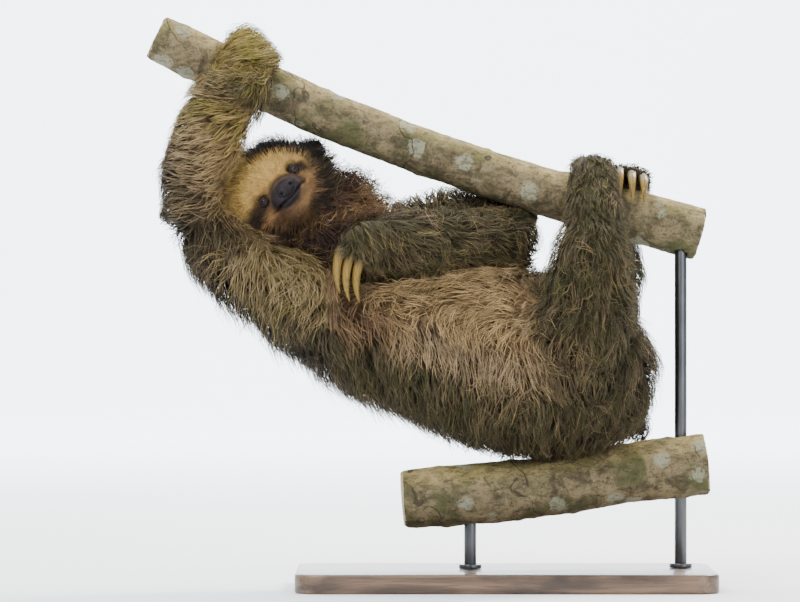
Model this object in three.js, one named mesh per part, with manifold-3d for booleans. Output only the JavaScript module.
// A three-toed sloth at life size, reclining between two cut lengths of branch on a plain display stand.
// Millimetres, +Z up, +Y away from the viewer. The origin is the centre of the underside of the stand's base.
// The solids of the body reach to the tips of its coat.
import * as THREE from "three";
import { mergeVertices } from "three/addons/utils/BufferGeometryUtils.js";
import Module from "manifold-3d";

const wasm = await Module();
wasm.setup();

// ---- Driving dimensions ----
const GAP = 0.4; // between neighbouring pieces
const BASE = { length: 480, depth: 270, height: 22, corner: 28 };
const ROD_RADIUS = 7;
const ROD_SEAT = 16; // how far a rod runs into a branch
const UPPER_BRANCH_RADIUS = 27;
const LOWER_BRANCH_RADIUS = 34;
const HAND_CLAW = { length: 68, width: 5.4, bend: 125, spacing: 14.5 };
const FOOT_CLAW = { length: 54, width: 5.0, bend: 120, spacing: 14.5 };
const RESTING_CLAW = { length: 62, width: 5.2, bend: 62, spacing: 12.2 }; // on the hand that grips nothing
const EYE = { left: 24.5, up: 4, forward: 45.5, radius: 5.2 }; // on the head's own axes

// Where the joints of the skeleton lie.
const SHOULDER_R = [-218, -48, 318];
const ELBOW_R = [-350, -22, 421];
const WRIST_R = [-316, -46, 560];
const SHOULDER_L = [-150, 42, 384];
const ELBOW_L = [40, 30, 414];
const WRIST_L = [-132, -66, 398];
const HIP_R = [62, -44, 218];
const KNEE_R = [92, -64, 330];
const ANKLE_R = [100, -40, 424];
const HIP_L = [84, 48, 262];
const KNEE_L = [122, 88, 350];
const ANKLE_L = [128, 76, 412];

// The head's own axes: the face looks at the viewer, with its crown rolled towards the raised arm.
const HEAD_CENTRE = new THREE.Vector3(-254, -2, 450);
const FACE_FORWARD = new THREE.Vector3(-0.044, -0.98, 0.192).normalize();
const FACE_UP = new THREE.Vector3(-0.742, 0, 0.67).projectOnPlane(FACE_FORWARD).normalize();
const FACE_LEFT = new THREE.Vector3().crossVectors(FACE_UP, FACE_FORWARD).normalize();

const COLOURS = {
  coat: [0x5a5138, 0.95],
  face: [0xb08a4e, 0.9],
  muzzle: [0x3a302c, 0.6],
  nose: [0x2b2726, 0.4],
  eye: [0x140d08, 0.15],
  claw: [0xb59a4e, 0.45],
  bark: [0x7d7554, 0.9],
  stand_wood: [0x3c2c20, 0.5],
  stand_steel: [0x3a3a3c, 0.4],
};

// ---- Shapes ----
const vec = (p) => new THREE.Vector3(...p);

// A closed outline for a lathe: radius share against the share of the length, with round or flat ends.
function outline(along, round) {
  const points = [];
  const turn = round < 0.1 ? 2 : 3; // steps of a round end
  for (let i = 0; i <= turn && round > 0; i++) {
    const a = (i / turn) * (Math.PI / 2);
    points.push(new THREE.Vector2(Math.sin(a), round * (1 - Math.cos(a))));
  }
  if (round === 0) points.push(new THREE.Vector2(0, 0), new THREE.Vector2(1, 0));
  for (let i = 1; i < along; i++) points.push(new THREE.Vector2(1, round + (1 - 2 * round) * (i / along)));
  const half = points.filter((p) => p.y < 0.5).map((p) => new THREE.Vector2(p.x, 1 - p.y));
  return [...points, ...half.reverse().filter((p) => p.y > points.at(-1).y)];
}

// A bent, tapering form: its stations are [centre, radius across, radius towards ref].
function sweep(stations, { around = 12, along = 6, round = 0.2, ref = [0, 1, 0] } = {}) {
  const line = new THREE.CatmullRomCurve3(stations.map((s) => vec(s[0])), false, "centripetal");
  const radii = new THREE.CatmullRomCurve3(stations.map((s) => new THREE.Vector3(s[1], s[2] ?? s[1], 0)));
  const geometry = new THREE.LatheGeometry(outline(along, round), around);
  const at = geometry.attributes.position;
  for (let i = 0; i < at.count; i++) {
    const t = THREE.MathUtils.clamp(at.getY(i), 0, 1);
    const tangent = line.getTangent(t);
    const side = new THREE.Vector3().crossVectors(tangent, vec(ref)).normalize();
    const depth = new THREE.Vector3().crossVectors(side, tangent).normalize();
    const size = radii.getPoint(t);
    const point = line.getPoint(t).addScaledVector(side, at.getX(i) * size.x);
    point.addScaledVector(depth, at.getZ(i) * size.y);
    at.setXYZ(i, point.x, point.y, point.z);
  }
  return geometry;
}

// A point given in the head's own axes: left, up, forward.
function onHead([left, up, forward]) {
  return HEAD_CENTRE.clone()
    .addScaledVector(FACE_LEFT, left)
    .addScaledVector(FACE_UP, up)
    .addScaledVector(FACE_FORWARD, forward);
}

// An ellipsoid in the head's own axes, with its radii left, up and forward.
function headBall(centre, radii, around) {
  const geometry = new THREE.SphereGeometry(1, around, Math.round(around * 0.7));
  const axes = new THREE.Matrix4().makeBasis(FACE_LEFT, FACE_UP, FACE_FORWARD);
  return geometry.scale(...radii).applyMatrix4(axes).translate(...onHead(centre).toArray());
}

// A claw leaves its root along heading and curls towards palm.
function claw(root, heading, palm, { length, width, bend }) {
  const steps = 6;
  const forward = vec(heading).normalize();
  const axis = new THREE.Vector3().crossVectors(forward, vec(palm)).normalize();
  const stations = [[vec(root).toArray(), width, width * 1.15]];
  const point = vec(root);
  for (let i = 1; i <= steps; i++) {
    const angle = THREE.MathUtils.degToRad((bend * (i - 0.5)) / steps);
    point.addScaledVector(forward.clone().applyAxisAngle(axis, angle), length / steps);
    const share = 1 - 0.84 * (i / steps) ** 2.4;
    stations.push([point.toArray(), width * share, width * 1.15 * share]);
  }
  return sweep(stations, { around: 6, along: 6, round: 0.06, ref: axis.toArray() });
}

// ---- Solids: manifold-3d only joins and cuts ----
function indexed(geometry) {
  const bare = geometry.index ? geometry.toNonIndexed() : geometry.clone();
  bare.deleteAttribute("normal");
  bare.deleteAttribute("uv");
  return mergeVertices(bare, 1e-3);
}

function toSolid(geometry) {
  const merged = indexed(geometry);
  const vertProperties = new Float32Array(merged.attributes.position.array);
  const build = (triVerts) => new wasm.Manifold(new wasm.Mesh({ numProp: 3, vertProperties, triVerts }));
  const faces = new Uint32Array(merged.index.array);
  const turned = faces.map((_, i) => faces[i - (i % 3) + [0, 2, 1][i % 3]]);
  const solid = build(faces);
  return solid.volume() > 0 ? solid : build(turned);
}

// The same form with its surface moved out by the gap, to cut its neighbours with.
function grown(geometry, by) {
  const solid = toSolid(geometry);
  const wide = indexed(toGeometry(solid));
  wide.computeVertexNormals();
  const at = wide.attributes.position;
  const out = wide.attributes.normal;
  for (let i = 0; i < at.count; i++) {
    at.setXYZ(i, at.getX(i) + by * out.getX(i), at.getY(i) + by * out.getY(i), at.getZ(i) + by * out.getZ(i));
  }
  return toSolid(wide);
}

function toGeometry(solid) {
  const mesh = solid.getMesh();
  const at = new Float32Array(mesh.numVert * 3);
  for (let i = 0; i < mesh.numVert; i++) {
    at.set(mesh.vertProperties.subarray(i * mesh.numProp, i * mesh.numProp + 3), i * 3);
  }
  return new THREE.BufferGeometry()
    .setAttribute("position", new THREE.BufferAttribute(at, 3))
    .setIndex(new THREE.BufferAttribute(mesh.triVerts, 1));
}

const largest = (solid) => solid.decompose().sort((a, b) => b.volume() - a.volume())[0];

const root = new THREE.Group();
const taken = []; // the grown forms that later pieces are cut by

function addNode(name, solid, colour) {
  const geometry = toGeometry(largest(solid));
  geometry.computeVertexNormals();
  const [hex, roughness] = COLOURS[colour];
  const metalness = colour === "stand_steel" ? 1 : 0;
  const mesh = new THREE.Mesh(geometry, new THREE.MeshStandardMaterial({ color: hex, roughness, metalness }));
  mesh.name = name;
  root.add(mesh);
}

// Adds one form as one or more nodes. Cuts are planes [point, direction] from its first station to its last.
function addPiece(names, geometry, colour, cuts = []) {
  const whole = taken.reduce((solid, other) => solid.subtract(other), toSolid(geometry));
  names.forEach((name, i) => {
    let piece = whole;
    if (i > 0) {
      const from = vec(cuts[i - 1][1]).normalize();
      piece = piece.trimByPlane(from.toArray(), from.dot(vec(cuts[i - 1][0])) + GAP / 2);
    }
    if (i < cuts.length) {
      const to = vec(cuts[i][1]).normalize().negate();
      piece = piece.trimByPlane(to.toArray(), to.dot(vec(cuts[i][0])) + GAP / 2);
    }
    addNode(name, piece, colour);
  });
  taken.push(grown(geometry, GAP));
}

// ---- Stand and perches ----
function baseOutline() {
  const x = BASE.length / 2;
  const y = BASE.depth / 2;
  const r = BASE.corner;
  const shape = new THREE.Shape();
  shape.moveTo(-x + r, -y).lineTo(x - r, -y).absarc(x - r, -y + r, r, -Math.PI / 2, 0);
  shape.lineTo(x, y - r).absarc(x - r, y - r, r, 0, Math.PI / 2);
  shape.lineTo(-x + r, y).absarc(-x + r, y - r, r, Math.PI / 2, Math.PI);
  shape.lineTo(-x, -y + r).absarc(-x + r, -y + r, r, Math.PI, Math.PI * 1.5);
  return shape;
}

function rod(x, y, top) {
  const height = top - BASE.height - GAP;
  const geometry = new THREE.CylinderGeometry(ROD_RADIUS, ROD_RADIUS, height, 16).rotateX(Math.PI / 2);
  return geometry.translate(x, y, BASE.height + GAP + height / 2);
}

const upperBranch = [
  [[-402, 4, 634], UPPER_BRANCH_RADIUS],
  [[-345, 6, 607], UPPER_BRANCH_RADIUS + 1],
  [[-282, 8, 579], UPPER_BRANCH_RADIUS],
  [[-213, 11, 548], UPPER_BRANCH_RADIUS + 1],
  [[-86, 16, 499], UPPER_BRANCH_RADIUS],
  [[40, 21, 458], UPPER_BRANCH_RADIUS + 1],
  [[130, 25, 433], UPPER_BRANCH_RADIUS + 3],
  [[226, 30, 407], UPPER_BRANCH_RADIUS + 4],
];
const lowerBranch = [
  [[-118, -6, 102], LOWER_BRANCH_RADIUS],
  [[-29, -2, 109], LOWER_BRANCH_RADIUS + 2],
  [[63, 2, 118], LOWER_BRANCH_RADIUS],
  [[132, 6, 131], LOWER_BRANCH_RADIUS + 1],
  [[232, 10, 142], LOWER_BRANCH_RADIUS + 2],
];
const lowRod = { x: -40, y: -2, underside: 78 };
const highRod = { x: 203, y: 19, underside: 385 };

function addStand() {
  const options = { depth: BASE.height, bevelEnabled: false, curveSegments: 4 };
  const plate = new THREE.ExtrudeGeometry(baseOutline(), options);
  addPiece(["stand_base"], plate, "stand_wood");
  addPiece(["stand_rod_low"], rod(lowRod.x, lowRod.y, lowRod.underside + ROD_SEAT), "stand_steel");
  addPiece(["stand_rod_high"], rod(highRod.x, highRod.y, highRod.underside + ROD_SEAT), "stand_steel");
  addPiece(["perch_lower"], sweep(lowerBranch, { around: 14, along: 7, round: 0 }), "bark");
  addPiece(["perch_upper"], sweep(upperBranch, { around: 14, along: 11, round: 0 }), "bark");
}

// ---- Claws: three on each hand and foot, side by side ----
function addClaws(name, middle, across, heading, palm, size) {
  const side = vec(across).normalize();
  for (let i = -1; i <= 1; i++) {
    const at = vec(middle).addScaledVector(side, i * size.spacing);
    const length = size.length * (i === 0 ? 1 : 0.93);
    addPiece([`claw_${name}_${i + 2}`], claw(at.toArray(), heading, palm, { ...size, length }), "claw");
  }
}

function addAllClaws() {
  addClaws("hand_right", [-284, 10, 615], [0.91, 0.03, -0.41], [0.1, 0.95, 0.3], [0, -0.1, -1], HAND_CLAW);
  const resting = [-0.4, -0.3, -0.87];
  addClaws("hand_left", [-175, -92, 387], [0.9, 0.12, -0.42], resting, [0.7, 0.7, 0], RESTING_CLAW);
  addClaws("foot_right", [101, 26, 486], [0.96, 0.04, -0.28], [0, 0.96, 0.25], [0, -0.1, -1], FOOT_CLAW);
  addClaws("foot_left", [146, 22, 475], [0.96, 0.04, -0.28], [0, -0.96, 0.25], [0, 0.1, -1], FOOT_CLAW);
}

// ---- Head ----
function addHead() {
  for (const side of [1, -1]) {
    const name = side > 0 ? "left" : "right";
    const ball = headBall([EYE.left * side, EYE.up, EYE.forward], [EYE.radius, EYE.radius, EYE.radius], 9);
    addPiece([`eye_${name}`], ball, "eye");
  }
  addPiece(["nose"], headBall([0, -8, 68], [13, 10.5, 8.5], 10), "nose");
  addPiece(["muzzle"], headBall([0, -9, 49], [24, 20, 24], 12), "muzzle");
  addPiece(["jaw"], headBall([0, -26, 37], [25, 16, 24], 12), "muzzle");
  addPiece(["head"], headBall([0, 8, -4], [66, 66, 56], 16), "face");
  for (const side of [1, -1]) {
    const name = side > 0 ? "left" : "right";
    addPiece([`ear_${name}`], headBall([58 * side, 12, -8], [17, 20, 19], 8), "coat");
  }
}

// ---- Trunk, neck and tail ----
const BELLY = [0.25, -0.77, 0.58]; // the way that the belly faces

const trunk = [
  [[-244, 0, 340], 52, 50],
  [[-182, 0, 320], 90, 86],
  [[-112, 0, 298], 97, 94],
  [[-42, 0, 276], 110, 105],
  [[29, 0, 261], 118, 108],
  [[106, 2, 244], 98, 94],
  [[180, 4, 232], 66, 68],
];
const neck = [
  [[-254, 14, 452], 52, 50],
  [[-202, 12, 428], 64, 60],
  [[-182, 6, 376], 72, 66],
  [[-168, 2, 320], 70, 64],
];
const tail = [
  [[118, 44, 226], 24],
  [[150, 62, 198], 20],
  [[164, 70, 166], 13],
];

function addTrunk() {
  const chestEnd = [[-128, 0, 294], [0.92, 0, -0.38]];
  const bellyEnd = [[18, 0, 260], [0.98, 0, -0.18]];
  const form = sweep(trunk, { around: 16, along: 9, round: 0.13, ref: BELLY });
  addPiece(["chest", "belly", "rump"], form, "coat", [chestEnd, bellyEnd]);
  addPiece(["neck"], sweep(neck, { around: 12, along: 5, round: 0.2 }), "coat");
  addPiece(["tail"], sweep(tail, { around: 8, along: 4, round: 0.25 }), "coat");
}

// ---- Limbs ----
const armRight = [
  [[-150, -18, 300], 66, 60],
  [SHOULDER_R, 58, 52],
  [[-272, -42, 354], 48],
  [[-322, -30, 386], 43],
  [ELBOW_R, 42],
  [[-357, -26, 478], 40],
  [[-338, -38, 520], 45],
  [WRIST_R, 45, 37],
  [[-302, -37, 590], 43, 27],
  [[-292, -12, 617], 41, 21],
  [[-286, 16, 623], 32, 14],
];
const upperArmLeft = [
  [SHOULDER_L, 48, 44],
  [[-96, 48, 414], 42],
  [[-40, 50, 424], 42],
  [[6, 44, 424], 39],
  [ELBOW_L, 35],
];
const foreArmLeft = [
  [[38, 16, 406], 32],
  [[-4, -2, 402], 37],
  [[-70, -40, 400], 39, 37],
  [WRIST_L, 38, 34],
  [[-166, -84, 394], 30, 27],
  [[-184, -94, 384], 22, 18],
];
const legRight = [
  [HIP_R, 76, 62],
  [[78, -58, 270], 66, 60],
  [KNEE_R, 58, 52],
  [[96, -56, 384], 48, 44],
  [ANKLE_R, 39, 33],
  [[101, -24, 456], 32, 22],
  [[101, 2, 486], 30, 17],
  [[101, 28, 491], 26, 13],
];
const legLeft = [
  [HIP_L, 58, 56],
  [[104, 74, 306], 54, 52],
  [KNEE_L, 46, 44],
  [[127, 88, 384], 38, 38],
  [ANKLE_L, 34, 32],
  [[138, 72, 446], 30, 22],
  [[145, 48, 474], 28, 16],
  [[146, 22, 480], 25, 13],
];

function addLimbs() {
  const nearArm = sweep(armRight, { along: 12, round: 0.06 });
  addPiece(["upper_arm_right", "forearm_right", "hand_right"], nearArm, "coat", [
    [ELBOW_R, [-0.35, 0, 0.94]],
    [WRIST_R, [0.35, 0, 0.94]],
  ]);
  const farForearm = sweep(foreArmLeft, { along: 8, round: 0.1 });
  addPiece(["forearm_left", "hand_left"], farForearm, "coat", [[[-146, -74, 396], [-0.84, -0.5, -0.1]]]);
  addPiece(["upper_arm_left"], sweep(upperArmLeft, { along: 6 }), "coat");
  const nearLeg = sweep(legRight, { along: 11, round: 0.08 });
  addPiece(["thigh_right", "shank_right", "foot_right"], nearLeg, "coat", [
    [KNEE_R, [0.1, 0, 1]],
    [ANKLE_R, [0, 0.3, 0.95]],
  ]);
  const farLeg = sweep(legLeft, { along: 11, round: 0.08 });
  addPiece(["thigh_left", "shank_left", "foot_left"], farLeg, "coat", [
    [KNEE_L, [0.1, 0, 1]],
    [ANKLE_L, [0, -0.3, 0.95]],
  ]);
}

addStand();
addAllClaws();
addHead();
addTrunk();
addLimbs();

export default root;
